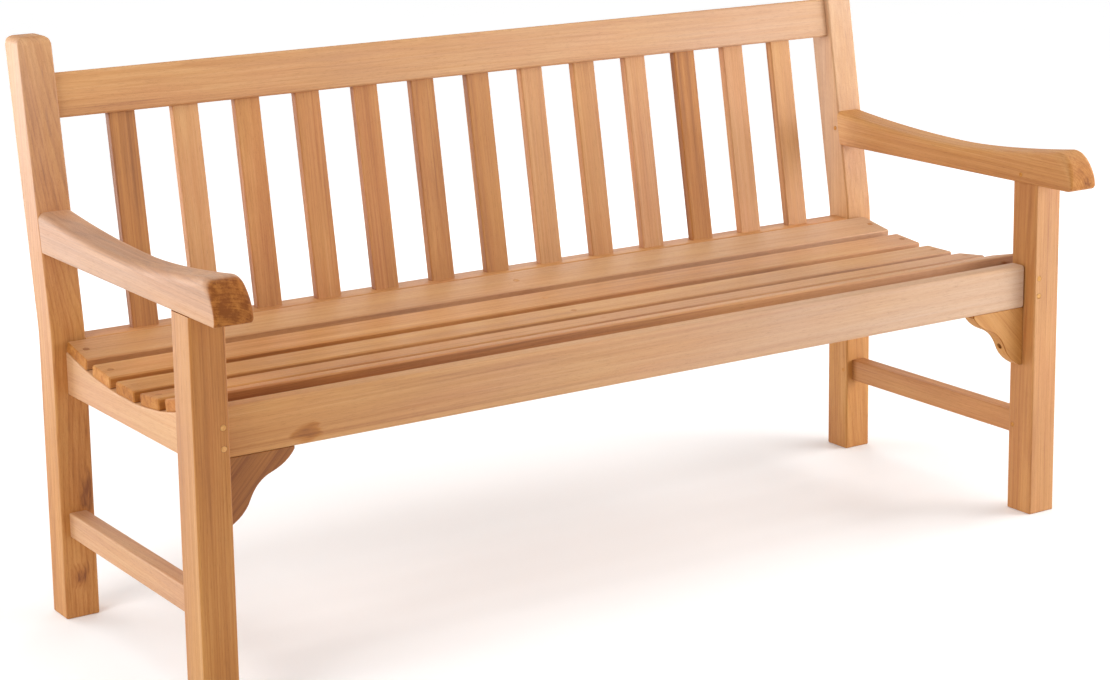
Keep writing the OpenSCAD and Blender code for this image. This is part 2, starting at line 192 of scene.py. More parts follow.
def eased(bm, rule):
    """The mesh with every sharp edge rounded to the radius that rule gives for it."""
    bm.normal_update()
    sharp = math.radians(25)
    radii = [rule(e) if e.calc_face_angle(0) > sharp else 0.0 for e in bm.edges]
    width = max(radii)
    mesh = with_slots(mesh_from(bm, "eased"))
    weights = mesh.attributes.new("bevel_weight_edge", "FLOAT", "EDGE")
    weights.data.foreach_set("value", [r / width for r in radii])
    return settled(mesh, ("BEVEL", {
        "width": width, "segments": 4, "limit_method": "WEIGHT", "offset_type": "OFFSET",
        "use_clamp_overlap": True, "material": EASED, "profile": 0.5}))


def pillowed(loop, low, high, radius_of):
    """The loop swept along X, its rims rounded over; radius_of gives each edge of the loop its radius."""
    segments = 8
    count = len(loop)
    turn = sum(a.y * b.z - a.z * b.y for a, b in zip(loop, loop[1:] + loop[:1]))
    inward, radii = [], []
    for i in range(count):
        a, b = loop[i], loop[(i + 1) % count]
        way = (b - a).normalized() * (1 if turn > 0 else -1)
        inward.append(Vector((0, -way.z, way.y)))
        radii.append(radius_of((a + b) / 2, b - a))
    # Where the loop hardly turns, the radius changes softly from edge to edge
    blunt = [inward[i - 1].dot(inward[i]) > 0.8 for i in range(count)]
    for _ in range(3):
        radii = [(radii[i - 1] * blunt[i] + radii[i] * 2 + radii[(i + 1) % count] * blunt[(i + 1) % count])
                 / (2 + blunt[i] + blunt[(i + 1) % count]) for i in range(count)]

    def ring(side, angle):
        """The outline at this angle round the rim: 0 on the flat side, 90 degrees where the rim ends."""
        points = []
        for i in range(count):
            n, m, r, q = inward[i - 1], inward[i], radii[i - 1], radii[i]
            r_in, q_in = r * (1 - math.sin(angle)), q * (1 - math.sin(angle))
            c = n.dot(m)
            if blunt[i]:
                move = (n + m) * (r_in + q_in) / (n + m).length_squared
            else:
                move = (n * (r_in - c * q_in) + m * (q_in - c * r_in)) / (1 - c * c)
            p = loop[i] + move
            out = max(r, q) * (1 - math.cos(angle))
            p.x = low + out if side < 0 else high - out
            points.append(p)
        return points

    steps = [math.pi / 2 * k / segments for k in range(segments + 1)]
    rings = [ring(-1, a) for a in steps] + [ring(1, a) for a in reversed(steps)]
    bm = bmesh.new()
    made = [[bm.verts.new(p) for p in points] for points in rings]
    bm.faces.new(made[0])
    bm.faces.new(list(reversed(made[-1])))
    for k, (a, b) in enumerate(zip(made, made[1:])):
        for i in range(count):
            j = (i + 1) % count
            f = bm.faces.new([a[i], b[i], b[j], a[j]])
            f.material_index = FLAT if k == segments else EASED
    bmesh.ops.recalc_face_normals(bm, faces=bm.faces)
    return with_slots(mesh_from(bm, "pillowed"))


def drilled(mesh, holes):
    """The mesh with round pockets, each (mouth, bottom, radius)."""
    if not holes:
        return mesh
    bm = bmesh.new()
    for mouth, bottom, radius in holes:
        rod(bm, mouth, bottom, radius)
    bmesh.ops.recalc_face_normals(bm, faces=bm.faces)
    cutter = with_slots(mesh_from(bm, "cutter"))
    for p in cutter.polygons:
        p.material_index = BORED
    tool = bpy.data.objects.new("cutter", cutter)
    bpy.context.scene.collection.objects.link(tool)
    made = settled(mesh, ("BOOLEAN", {"operation": "DIFFERENCE", "solver": "EXACT", "object": tool}))
    bpy.data.objects.remove(tool)
    return made


# ---- how each board was sawn ----

# How brown each board is, from 0, pale straw, to 1, brown
TONE = {
    "rear_leg_left": 0.42, "rear_leg_right": 0.46, "front_leg_left": 0.67, "front_leg_right": 0.50,
    "armrest_left": 0.64, "armrest_right": 0.36, "side_rail_left": 0.38, "side_rail_right": 0.45,
    "side_stretcher_left": 0.38, "side_stretcher_right": 0.60, "front_rail": 0.42, "rear_rail": 0.40,
    "top_rail": 0.33, "seat_bearer": 0.60, "corner_bracket_left": 0.92, "corner_bracket_right": 0.55,
    "seat_slat_1": 0.34, "seat_slat_2": 0.42, "seat_slat_3": 0.38, "seat_slat_4": 0.32, "seat_slat_5": 0.38,
    "back_slat_1": 0.62, "back_slat_2": 0.34, "back_slat_3": 0.62, "back_slat_4": 0.50, "back_slat_5": 0.46,
    "back_slat_6": 0.64, "back_slat_7": 0.50, "back_slat_8": 0.38, "back_slat_9": 0.47, "back_slat_10": 0.36,
    "back_slat_11": 0.68, "back_slat_12": 0.38, "back_slat_13": 0.34,
}

# Boards whose grain runs out of the wood, in degrees, those with more or less figure than usual,
# and those whose cast is chosen, from 0, golden, to 1, rosy
USUAL_TILT = 1.2
TILT = {"rear_leg_left": 6.0, "rear_leg_right": 3.0, "back_slat_3": 2.5, "armrest_right": 2.5}
FIGURE = {
    "corner_bracket_left": 0.35, "corner_bracket_right": 0.3, "rear_leg_left": 1.6, "front_rail": 0.8,
    "armrest_left": 1.15, "armrest_right": 1.3,
}
HUE = {
    "front_rail": 0.55, "top_rail": 0.55, "side_rail_left": 0.8, "corner_bracket_right": 0.0,
    "front_leg_left": 0.15, "corner_bracket_left": 0.2, "seat_slat_5": 0.5, "armrest_left": 0.6,
    "rear_leg_right": 0.1, "armrest_right": 0.4, "back_slat_1": 0.1, "back_slat_7": 0.2,
    "back_slat_11": 0.15,
}

# How dark the end grain is against the usual 1, and how pale a board is at its low and high end: partly
# bleached, partly a painted sheen that grows towards the end the lamps light most
# On the front rail, end grain darker than usual is painted shade: its rounded ends turn into a dark shadow
# line in the joints against the legs
ENDS = {
    "armrest_left": 1.5, "armrest_right": 0.7, "rear_leg_left": 0.45, "rear_leg_right": 0.45,
    "front_rail": 1.5,
}
USUAL_BLEACH_AND_SHEEN = (0.07, 0.07)
BLEACH_AND_SHEEN = {
    "front_rail": (0.03, 0.72), "top_rail": (0.14, 0.45), "rear_leg_left": (-0.30, 0.30),
    "rear_leg_right": (-0.30, 0.66), "armrest_left": (0.36, 0.36), "side_stretcher_left": (0.32, 0.32),
    "front_leg_left": (0.0, 0.0), "front_leg_right": (0.04, 0.04), "corner_bracket_left": (0.0, 0.0),
    "corner_bracket_right": (0.0, 0.0), "back_slat_2": (0.16, 0.16), "back_slat_8": (0.20, 0.20),
    "back_slat_9": (0.12, 0.12), "back_slat_10": (0.20, 0.20), "back_slat_11": (0.0, 0.0),
    "back_slat_12": (0.20, 0.20), "back_slat_13": (0.14, 0.14), "side_rail_left": (0.28, 0.28),
    "seat_slat_1": (-0.02, 0.34), "seat_slat_2": (-0.02, 0.34), "seat_slat_3": (-0.02, 0.34),
    "seat_slat_4": (-0.10, 0.35), "seat_slat_5": (0.12, 0.48), "armrest_right": (0.05, 0.05),
}

# Knots, and on the first seat slat a painted shadow, two at most on a board: each one's middle and its half
# sizes
front_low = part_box("front_rail")[0]
slat_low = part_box("seat_slat_1")[0]
KNOTS_AND_SHADOW = {
    "front_rail": [
        (Vector((-LEG_X + 132 * MM, front_low.y, front_low.z + 18 * MM)), (28 * MM, 24 * MM, 22 * MM)),
    ],
    "rear_leg_left": [
        (Vector((-LEG_X - 30 * MM, REAR_LOW.y, 70 * MM)), (17 * MM, 20 * MM, 30 * MM)),
        (Vector((-LEG_X - 10 * MM, REAR_LOW.y, 195 * MM)), (13 * MM, 20 * MM, 44 * MM)),
    ],
    # Not a knot: a dark patch painted at the slat's right end, by the leg, standing for the leg's shadow
    "seat_slat_1": [
        (Vector((LEG_X + 2 * MM, slat_low.y, slat_low.z + 6 * MM)), (54 * MM, 22 * MM, 17 * MM)),
    ],
}
KNOT_AND_SHADOW_NAMES = ("knot", "knot_two")
NO_KNOT = (Vector((0, 0, 9)), (MM, MM, MM))
FAR_AWAY = (9.0, 9.0, 9.0)

# How much a face is lightened or darkened, from below 0, brown with painted shade, to above 1, pale with
# painted sheen: an eased edge is at 1, a little paler as wear and as a painted highlight.
# Boards with painted shade on their narrow sides and the axis that these look along, boards with painted
# shade in their joints, and boards with a face painted with sheen where the lamps light it most, the way it
# looks and how much sheen it gets
EDGE_HIGHLIGHT_AND_WEAR = 1.0
SHADED_SIDES = {"back_slat_": X, "seat_slat_": Y}
SIDE_SHADE, SIDE_EDGE_SHADE = -6.5, -2.0
SHADED_JOINTS = ("front_rail", "corner_bracket")
JOINT_SHADE = -12.0
SHEEN_FACES = {
    "front_leg_left": (Vector((-1, 0, 0)), 3.0),
    "rear_leg_left": (Vector((-1, 0, 0)), 3.0),
    "front_leg_right": (Vector((0, -1, 0)), 2.2),
}


def grain_frame(along, seed, tilt=USUAL_TILT):
    """Axes of the tree that a board was cut from: along its grain, and two across it, a little off true."""
    dice = random.Random(seed)
    u = along.normalized()
    v = u.orthogonal().normalized()
    w = u.cross(v)
    off = [math.radians(dice.uniform(-tilt, tilt)) for _ in range(2)]
    lean = Matrix.Rotation(off[0], 3, v) @ Matrix.Rotation(off[1], 3, w)
    roll = Matrix.Rotation(dice.uniform(0, 2 * math.pi), 3, u)
    u, v, w = lean @ u, lean @ roll @ v, lean @ roll @ w
    heart = dice.uniform(0.045, 0.11)
    return u, v, w, Vector((dice.uniform(2, 40), heart, dice.uniform(-0.02, 0.02))), dice


def face_light_and_wear(mesh, node):
    """How much each face of a board is lightened or darkened: painted highlight and wear on eased edges,
    painted shade on narrow sides and in joints, painted sheen on the faces lit most.
    """
    light_and_wear = [EDGE_HIGHLIGHT_AND_WEAR if p.material_index == EASED else 0.0 for p in mesh.polygons]
    # Painted shade: the narrow sides of the slats are made browner, standing for the shade between them
    for start, axis in SHADED_SIDES.items():
        if node.startswith(start):
            light_and_wear = [SIDE_SHADE if abs(p.normal[axis]) > 0.96 else SIDE_EDGE_SHADE * abs(p.normal[axis])
                    for p in mesh.polygons]
    # Painted sheen: the face that the lamps light most is made paler, standing for its glossy sheen
    if node in SHEEN_FACES:
        out, sheen_level = SHEEN_FACES[node]
        light_and_wear = [sheen_level if p.normal.dot(out) > 0.9 else w for p, w in zip(mesh.polygons, light_and_wear)]
    # Painted shade: the eased ends of the front rail and brackets are made browner, standing for the shadow
    # in the joint against the leg
    if node.startswith(SHADED_JOINTS):
        light_and_wear = [JOINT_SHADE * abs(p.normal.x) if p.material_index == EASED and abs(p.normal.x) > 0.2 else w
                for p, w in zip(mesh.polygons, light_and_wear)]
    return light_and_wear


def store(mesh, name, values):
    """Stores a vector for each point of the mesh."""
    mesh.attributes.new(name, "FLOAT_VECTOR", "POINT").data.foreach_set("vector", values)


def write_grain(mesh, along, node):
    """Stores each point's place in its tree, the board's own cast, its knots and painted shadow, its end
    darkness and paleness (bleach and painted sheen), and each face's painted highlight, shade, sheen and
    wear.
    """
    u, v, w, start, dice = grain_frame(along, node, TILT.get(node, USUAL_TILT))
    points = [p.co for p in mesh.vertices]
    centre = sum(points, Vector()) / len(points)
    place = []
    for p in points:
        d = p - centre
        place += [d.dot(u) + start.x, d.dot(v) + start.y, d.dot(w) + start.z]
    cast = [TONE[node], HUE.get(node, dice.uniform(0, 1)), FIGURE.get(node, dice.uniform(0.6, 1.3))]
    reach = [p.dot(along) for p in points]
    first, last = min(reach), max(reach)
    low, high = BLEACH_AND_SHEEN.get(node, USUAL_BLEACH_AND_SHEEN)
    age = []
    for r in reach:
        age += [ENDS.get(node, 1.0), low + (high - low) * (r - first) / (last - first), 0.0]
    store(mesh, "wood", place)
    store(mesh, "cast", cast * len(points))
    store(mesh, "age", age)
    store(mesh, "way", list(u) * len(points))
    for name, (middle, size) in zip(KNOT_AND_SHADOW_NAMES, KNOTS_AND_SHADOW.get(node, []) + [NO_KNOT, NO_KNOT]):
        store(mesh, name, [(p - middle)[i] / size[i] for p in points for i in range(3)])
    mesh.attributes.new("edge", "FLOAT", "FACE").data.foreach_set("value", face_light_and_wear(mesh, node))
    for p in mesh.polygons:
        p.material_index = 0


def piece(name, mesh, material, *nodes, slot="teak"):
    """A finished piece that stands for these CAD nodes."""
    mesh.name = name
    mesh.materials.clear()
    mesh.materials.append(material)
    mesh.shade_smooth()
    mesh.set_sharp_from_angle(angle=math.radians(38))
    obj = bpy.data.objects.new(name, mesh)
    bpy.context.scene.collection.objects.link(obj)
    m = obj.modifiers.new("normals", "WEIGHTED_NORMAL")
    m.keep_sharp = True
    m.weight = 50
    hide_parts(*nodes)
    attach(obj, "root")


def board(node, loop, axis, low, high, rule, along, holes=()):
    """A board: the loop swept along axis, its edges eased by rule, with its grain along."""
    mesh = drilled(eased(prism(loop, axis, low, high), rule), holes)
    write_grain(mesh, along, node)
    piece(node + "_wood", mesh, TEAK, node)


# ---- materials ----

class Graph:
    """Short forms for building a shader's nodes."""

    def __init__(self, name):
        self.mat = bpy.data.materials.new(name)
        self.mat.use_nodes = True
        self.tree = self.mat.node_tree
        self.tree.nodes.clear()

    def node(self, kind, values=None, **settings):
        n = self.tree.nodes.new(kind)
        for key, value in settings.items():
            setattr(n, key, value)
        for key, value in (values or {}).items():
            self.put(n.inputs[key], value)
        return n

    def put(self, socket, value):
        if isinstance(value, bpy.types.NodeSocket):
            self.tree.links.new(value, socket)
        else:
            socket.default_value = value

    def attribute(self, name, output):
        return self.node("ShaderNodeAttribute", attribute_name=name).outputs[output]

    def math(self, operation, a, b=0.0, clamp=False):
        n = self.node("ShaderNodeMath", {0: a, 1: b}, operation=operation, use_clamp=clamp)
        return n.outputs[0]

    def vector(self, operation, a, b=(0.0, 0.0, 0.0)):
        n = self.node("ShaderNodeVectorMath", {0: a, "Scale" if operation == "SCALE" else 1: b},
                      operation=operation)
        return n.outputs["Value" if operation in ("LENGTH", "DOT_PRODUCT") else "Vector"]

    def noise(self, place, stretch, detail=2.0, rough=0.5, output="Fac"):
        at = self.vector("MULTIPLY", place, stretch)
        values = {"Vector": at, "Scale": 1.0, "Detail": detail, "Roughness": rough}
        return self.node("ShaderNodeTexNoise", values).outputs[output]

    def ramp(self, value, *stops):
        n = self.node("ShaderNodeValToRGB", {"Fac": value})
        while len(n.color_ramp.elements) < len(stops):
            n.color_ramp.elements.new(0.5)
        for e, (at, colour) in zip(n.color_ramp.elements, stops):
            e.position = at
            c = (colour,) * 3 if isinstance(colour, (int, float)) else colour
            e.color = (*c, 1.0)
        return n.outputs["Color"]

    def span(self, value, low, high, to_low=0.0, to_high=1.0):
        values = {0: value, 1: low, 2: high, 3: to_low, 4: to_high}
        return self.node("ShaderNodeMapRange", values, clamp=True).outputs[0]

    def mix(self, share, a, b, blend="MIX"):
        n = self.node("ShaderNodeMix", {0: share}, data_type="RGBA", blend_type=blend)
        for socket, value in ((n.inputs[6], a), (n.inputs[7], b)):
            self.put(socket, (*value, 1.0) if isinstance(value, tuple) and len(value) == 3 else value)
        return n.outputs[2]

    def finish(self, values, bump=None):
        """The material, from the shader's values and a bump of (height, distance, strength)."""
        shader = self.node("ShaderNodeBsdfPrincipled", values)
        if bump:
            n = self.node("ShaderNodeBump", dict(zip(("Height", "Distance", "Strength"), bump)))
            self.put(shader.inputs["Normal"], n.outputs["Normal"])
        self.node("ShaderNodeOutputMaterial", {"Surface": shader.outputs["BSDF"]})
        return self.mat


RING_WIDTH = 5.2 * MM


def teak_material(name, darker=0.0):
    """Oiled teak. The stretches of its noises are per metre: along the grain first, then across it."""
    g = Graph(name)
    place = g.attribute("wood", "Vector")
    tone, hue, figure = g.node("ShaderNodeSeparateXYZ", {0: g.attribute("cast", "Vector")}).outputs
    ends, bleach_and_sheen, _ = g.node("ShaderNodeSeparateXYZ", {0: g.attribute("age", "Vector")}).outputs
    edge = g.attribute("edge", "Fac")

    def drift(stretch, detail):
        """A noise in each direction, around 0."""
        return g.vector("SUBTRACT", g.noise(place, stretch, detail, output="Color"), (0.5, 0.5, 0.5))

    ragged = drift((25.0, 90.0, 90.0), 2.0)
    # The knot masks also carry the painted shadow on the first seat slat, which darkens like a knot
    knots_and_shadow = []
    for which in KNOT_AND_SHADOW_NAMES:
        away = g.vector("ADD", g.attribute(which, "Vector"), g.vector("SCALE", ragged, 1.6))
        knots_and_shadow.append(g.span(g.vector("LENGTH", away), 0.1, 1.0, 1.0, 0.0))
    knot = g.math("MAXIMUM", *knots_and_shadow)
    # The rings wander along the trunk, and bend round a knot
    slow = drift((1.3, 8.0, 8.0), 1.0)
    quick = drift((6.0, 42.0, 42.0), 2.0)
    warped = g.vector("ADD", place, g.vector("MULTIPLY", slow, (0.0, 0.028, 0.028)))
    warped = g.vector("ADD", warped, g.vector("MULTIPLY", quick, (0.0, 0.004, 0.004)))
    radius = g.vector("LENGTH", g.vector("MULTIPLY", warped, (0.0, 1.0, 1.0)))
    radius = g.math("ADD", radius, g.math("MULTIPLY", knot, 0.007))
    years = g.node("ShaderNodeCombineXYZ", {0: radius, 1: hue}).outputs[0]
    wide = g.noise(years, (60.0, 9.0, 1.0), 2.0)
    phase = g.math("ADD", g.math("MULTIPLY", radius, 1 / RING_WIDTH), g.math("MULTIPLY", wide, 3.0))
    ring = g.ramp(g.math("FRACT", phase),
                  (0.0, 0.25), (0.12, 0.0), (0.60, 0.25), (0.92, 1.0), (1.0, 0.25))
    # Fibres, finer and finer, and the open pores
    silk = g.noise(place, (1.2, 60.0, 60.0), 2.0, 0.5)
    streak = g.noise(place, (2.6, 190.0, 190.0), 3.0, 0.6)
    fibre = g.noise(place, (9.0, 800.0, 800.0), 2.0, 0.6)
    pore = g.ramp(g.noise(place, (60.0, 2300.0, 2300.0), 1.0), (0.60, 0.0), (0.70, 1.0))
    patch = g.noise(place, (2.8, 11.0, 11.0), 2.0)
    blush = g.noise(g.vector("ADD", place, (7.0, 0.0, 0.0)), (4.5, 17.0, 17.0), 2.0)
    vein = g.ramp(g.noise(place, (0.8, 120.0, 120.0), 2.0, 0.65), (0.62, 0.0), (0.74, 1.0))
    # Ends of the grain are darker, and mottled
    normal = g.node("ShaderNodeNewGeometry").outputs["Normal"]
    facing = g.math("ABSOLUTE", g.vector("DOT_PRODUCT", normal, g.attribute("way", "Vector")))
    end = g.span(g.math("MULTIPLY", facing, ends), 0.30, 0.85)
    mottle = g.math("MULTIPLY", g.math("SUBTRACT", g.noise(place, (45.0, 85.0, 85.0), 1.0, 0.5), 0.5), end)
    mottle = g.math("MULTIPLY", mottle, figure)

    shade = g.math("ADD", tone, darker)
    # The edge layer makes eased edges a little paler, as wear and as a painted highlight; it also paints
    # shade on the slats' narrow sides and in the rail and bracket joints, and sheen on the faces lit most
    layers = (
        (streak, 0.5, 0.48), (silk, 0.5, 0.50), (fibre, 0.5, 0.34), (patch, 0.5, 0.72),
        (g.math("MULTIPLY", wide, figure), 0.5, 0.34), (g.math("MULTIPLY", ring, figure), 0.3, 0.12),
        (vein, 0.0, 0.21), (end, 0.0, 0.225), (mottle, 0.0, 0.50), (knot, 0.0, 0.50), (edge, 0.0, -0.05),
    )
    for layer, middle, weight in layers:
        shade = g.math("ADD", shade, g.math("MULTIPLY", g.math("SUBTRACT", layer, middle), weight))
    colour = g.ramp(shade, (0.0, (0.63, 0.335, 0.115)), (0.35, (0.52, 0.228, 0.054)),
                    (0.65, (0.41, 0.150, 0.026)), (1.0, (0.21, 0.060, 0.008)))
    warmth = g.math("ADD", g.math("MULTIPLY", hue, 0.4), g.math("MULTIPLY", blush, 0.8))
    rosy, golden = g.span(warmth, 0.60, 1.0), g.span(warmth, 0.55, 0.25)
    colour = g.mix(rosy, colour, g.mix(1.0, colour, (1.04, 0.93, 1.04), "MULTIPLY"))
    colour = g.mix(golden, colour, g.mix(1.0, colour, (1.0, 1.0, 0.80), "MULTIPLY"))
    # Some stretches are paler, partly bleached and partly a painted sheen, and the faces lit most get a
    # painted sheen; no knot, painted shadow or end of the grain is paled
    bleach_and_sheen = g.math("ADD", bleach_and_sheen, g.span(edge, EDGE_HIGHLIGHT_AND_WEAR, 3.0, 0.0, 0.12))
    bleach_and_sheen = g.math("MULTIPLY", bleach_and_sheen, g.span(end, 0.1, 0.6, 1.0, 0.0))
    bleach_and_sheen = g.math("MULTIPLY", bleach_and_sheen, g.span(knot, 0.0, 0.4, 1.0, 0.0))
    bleach_and_sheen = g.math("MULTIPLY", bleach_and_sheen, g.span(patch, 0.2, 0.8, 0.7, 1.3))
    bleach_and_sheen = g.math("MULTIPLY", bleach_and_sheen, g.span(streak, 0.2, 0.8, 1.2, 0.8), clamp=True)
    colour = g.mix(bleach_and_sheen, colour, (0.60, 0.42, 0.30))
    dark_pore = g.mix(1.0, colour, (0.42, 0.34, 0.28), "MULTIPLY")
    colour = g.mix(g.math("MULTIPLY", pore, 0.34), colour, dark_pore)

    rough = g.math("ADD", 0.52, g.math("MULTIPLY", streak, 0.16))
    rough = g.math("ADD", rough, g.math("MULTIPLY", pore, 0.15))
    rough = g.math("ADD", rough, g.math("MULTIPLY", end, 0.14), clamp=True)
    height = g.math("ADD", g.math("MULTIPLY", fibre, 0.7), g.math("MULTIPLY", ring, 0.35))
    height = g.math("SUBTRACT", height, g.math("MULTIPLY", pore, 0.8))
    dull = g.math("MAXIMUM", end, g.math("MULTIPLY", edge, -0.13), clamp=True)
    shine = g.math("SUBTRACT", 0.52, g.math("MULTIPLY", dull, 0.32))
    return g.finish({"Base Color": colour, "Roughness": rough, "IOR": 1.5, "Specular IOR Level": shine},
                    (height, 0.00022, 0.55))


def steel_material():
    """Stainless steel, turned and a little stained."""
    g = Graph("stainless")
    place = g.node("ShaderNodeTexCoord").outputs["Object"]
    stain = g.noise(place, (260.0, 260.0, 260.0), 4.0, 0.6)
    turned = g.noise(place, (900.0, 900.0, 4200.0), 2.0)
    colour = g.ramp(stain, (0.30, (0.62, 0.61, 0.59)), (0.75, (0.36, 0.33, 0.30)))
    rough = g.math("ADD", 0.24, g.math("MULTIPLY", stain, 0.30))
    return g.finish({"Base Color": colour, "Metallic": 1.0, "Roughness": rough}, (turned, 0.00005, 0.4))


def floor_material():
    g = Graph("studio_floor")
    place = g.node("ShaderNodeTexCoord").outputs["Object"]
    cloud = g.noise(place, (0.8, 0.8, 0.8), 3.0)
    colour = g.ramp(cloud, (0.3, 0.83), (0.7, 0.86))
    # The backdrop glows, so that the sweep stays white far behind the bench
    glow = g.ramp(g.math("MULTIPLY", g.vector("LENGTH", place), 0.1), (0.14, 0.09), (0.45, 0.58))
    return g.finish({"Base Color": colour, "Roughness": 0.7, "Specular IOR Level": 0.2,
                     "Emission Color": glow, "Emission Strength": 1.0})


TEAK = teak_material("teak")
PEG_WOOD = teak_material("teak_pegs", darker=0.10)
STEEL = steel_material()


# ---- pegs, plugs and screws: where they are, and the pockets they stand in ----

# How far a peg stands out, and the gap round it; a pocket is cut from clear of the face
PROUD = 0.35 * MM
PEG_GAP = 0.30 * MM
POCKET_ABOVE, POCKET_DEEP = 3 * MM, 5 * MM


def pocket(mouth, way, radius):
    """The hole in a board at a peg's mouth, where way leads out of the wood."""
    return mouth + way * POCKET_ABOVE, mouth - way * POCKET_DEEP, radius


def islands(node):
    """Each closed solid of a CAD node, as its list of points."""
    bm = bmesh.new()
    bm.from_mesh(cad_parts[node].data)
    bmesh.ops.remove_doubles(bm, verts=bm.verts, dist=WELD)
    seen, found = set(), []
    for start in bm.verts:
        if start in seen:
            continue
        seen.add(start)
        group, waiting = [], [start]
        while waiting:
            v = waiting.pop()
            group.append(v.co.copy())
            for e in v.link_edges:
                o = e.other_vert(v)
                if o not in seen:
                    seen.add(o)
                    waiting.append(o)
        found.append(group)
    bm.free()
    return sorted(found, key=lambda g: tuple(round(c, 4) for c in sum(g, Vector()) / len(g)))


def bar_of(points, out):
    """The end of a round bar that looks out, the other end, and its radius there and at its widest."""
    middle = sum(points, Vector()) / len(points)
    spread = np.array([p - middle for p in points])
    way = Vector(np.linalg.svd(spread, full_matrices=False)[2][0])
    if way.dot(out) < 0:
        way = -way
    spans = [(p - middle).dot(way) for p in points]
    radius = max((p - middle - way * t).length for p, t in zip(points, spans))
    return middle + way * max(spans), middle + way * min(spans), radius


def inwards(p):
    return Vector((-p.x, 0, 0))


# The way that each kind of peg was driven from, as the way out of its mouth
PEGS = {
    "front_rail_pegs": lambda p: Vector((0, -1, 0)),
    "back_rail_pegs": lambda p: Vector((0, 1, 0)),
    "side_rail_pegs": inwards,
    "stretcher_pegs": inwards,
    "arm_pegs": inwards,
}
pockets = {}


def host_of(node, mouth):
    """The board that shows the mouth of a peg."""
    side = "right" if mouth.x > 0 else "left"
    if mouth.y > 0:
        return "rear_leg_" + side
    return ("armrest_" if node == "arm_pegs" else "front_leg_") + side


def write_peg_grain(mesh, spans, tones):
    """Each peg's own place in its tree: spans gives (count of points, axis, middle) for each."""
    place, ways, casts = [], [], []
    for number, (count, axis, middle) in enumerate(spans):
        u, v, w, start, dice = grain_frame(axis, f"{mesh.name}{number}")
        cast = (dice.uniform(*tones), dice.random(), 1.0)
        for p in mesh.vertices[len(casts):len(casts) + count]:
            d = p.co - middle
            place += [d.dot(u) + start.x, d.dot(v) + start.y, d.dot(w) + start.z]
            ways += list(u)
            casts.append(cast)
    store(mesh, "wood", place)
    store(mesh, "way", ways)
    store(mesh, "cast", [c for cast in casts for c in cast])
    store(mesh, "age", (1.0, 0.0, 0.0) * len(casts))
    for name in KNOT_AND_SHADOW_NAMES:
        store(mesh, name, FAR_AWAY * len(casts))
    mesh.attributes.new("edge", "FLOAT", "FACE")


def pegs(node, out):
    """All pegs of a node, with the pockets that they need."""
    bm = bmesh.new()
    spans = []
    for points in islands(node):
        mouth, tail, radius = bar_of(points, out(points[0]))
        way = (mouth - tail).normalized()
        pockets.setdefault(host_of(node, mouth), []).append(pocket(mouth, way, radius + PEG_GAP))
        before = len(bm.verts)
        rod(bm, mouth + way * PROUD, tail, radius, ease=0.7 * MM)
        spans.append((len(bm.verts) - before, way, mouth))
    bmesh.ops.recalc_face_normals(bm, faces=bm.faces)
    mesh = mesh_from(bm, node)
    write_peg_grain(mesh, spans, (-0.30, -0.10) if node == "front_rail_pegs" else (-0.15, 0.15))
    piece(node + "_wood", mesh, PEG_WOOD, node, slot="teak_peg")


for name, out in PEGS.items():
    pegs(name, out)


# ---- the end frames ----

SIDES = ((1, "_right"), (-1, "_left"))
ALONG_X, ALONG_Y, UPRIGHT = Vector((1, 0, 0)), Vector((0, 1, 0)), Vector((0, 0, 1))


def mirrored(points, side):
    """The right side's points, or the same mirrored for the left."""
    return [Vector((p.x * side, p.y, p.z)) for p in points]


def span(side, low, high):
    """low and high of the right side, or the same mirrored for the left."""
    return (low, high) if side > 0 else (-high, -low)


def ruled(along_x=0.0, along_y=0.0, along_z=0.0, special=None):
    """A rule for eased(): the radius follows the way an edge mostly runs, unless special gives one."""
    radii = (along_x, along_y, along_z)

    def rule(e):
        a, b = e.verts[0].co, e.verts[1].co
        if special:
            given = special((a + b) / 2, b - a)
            if given is not None:
                return given
        return radii[max(range(3), key=lambda i: abs((b - a)[i]))]
    return rule


def leaning():
    """The way the back leans, from a back slat's long edge."""
    loop = profile("back_slat_7", X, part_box("back_slat_7")[1].x)
    edges = [loop[i] - loop[i - 1] for i in range(len(loop))]
    way = max(edges, key=lambda v: v.length).normalized()
    return way if way.z > 0 else -way


LEAN = leaning()
# A point this close to a face counts as being on it
NEAR = 1 * MM


def rear_leg_loop():
    """The sawn outline of a rear leg with its top corners still sharp."""
    loop = profile("rear_leg_right", X, HALF_W)
    top = REAR_HIGH.z
    kept = [p.z < 0.8 * top for p in loop]
    first = next(i for i in range(len(loop)) if kept[i] and not kept[i - 1])
    loop = [p for p in loop[first:] + loop[:first] if p.z < 0.8 * top]

    def up(p):
        return p + LEAN * (top - p.z) / LEAN.z

    return loop + [up(loop[-1]), up(loop[0])]


def rear_leg_radius(middle, way):
    if middle.z > REAR_HIGH.z - NEAR:
        return 12.5 * MM
    if middle.z < NEAR:
        return 2.5 * MM
    return None


def front_leg_radius(middle, way):
    return 2 * MM if middle.z < NEAR else None


def arm_radius(middle, way):
    """The arm's top is well rounded, and the round dies out down the sides of the nose."""
    if middle.y > REAR_LOW.y - 5 * MM and abs(way.z) > abs(way.y):
        return 0.0
    if middle.z < ARM_Z + NEAR:
        return 3 * MM
    if middle.y < LEG_LOW.y - 24 * MM:
        share = min(max((middle.z - ARM_Z - 12 * MM) / (40 * MM), 0.0), 1.0)
        return (5 + 9 * share * share * (3 - 2 * share)) * MM
    share = min(max((middle.y - LEG_LOW.y) / (300 * MM), 0.0), 1.0)
    return (14 - 2 * share) * MM


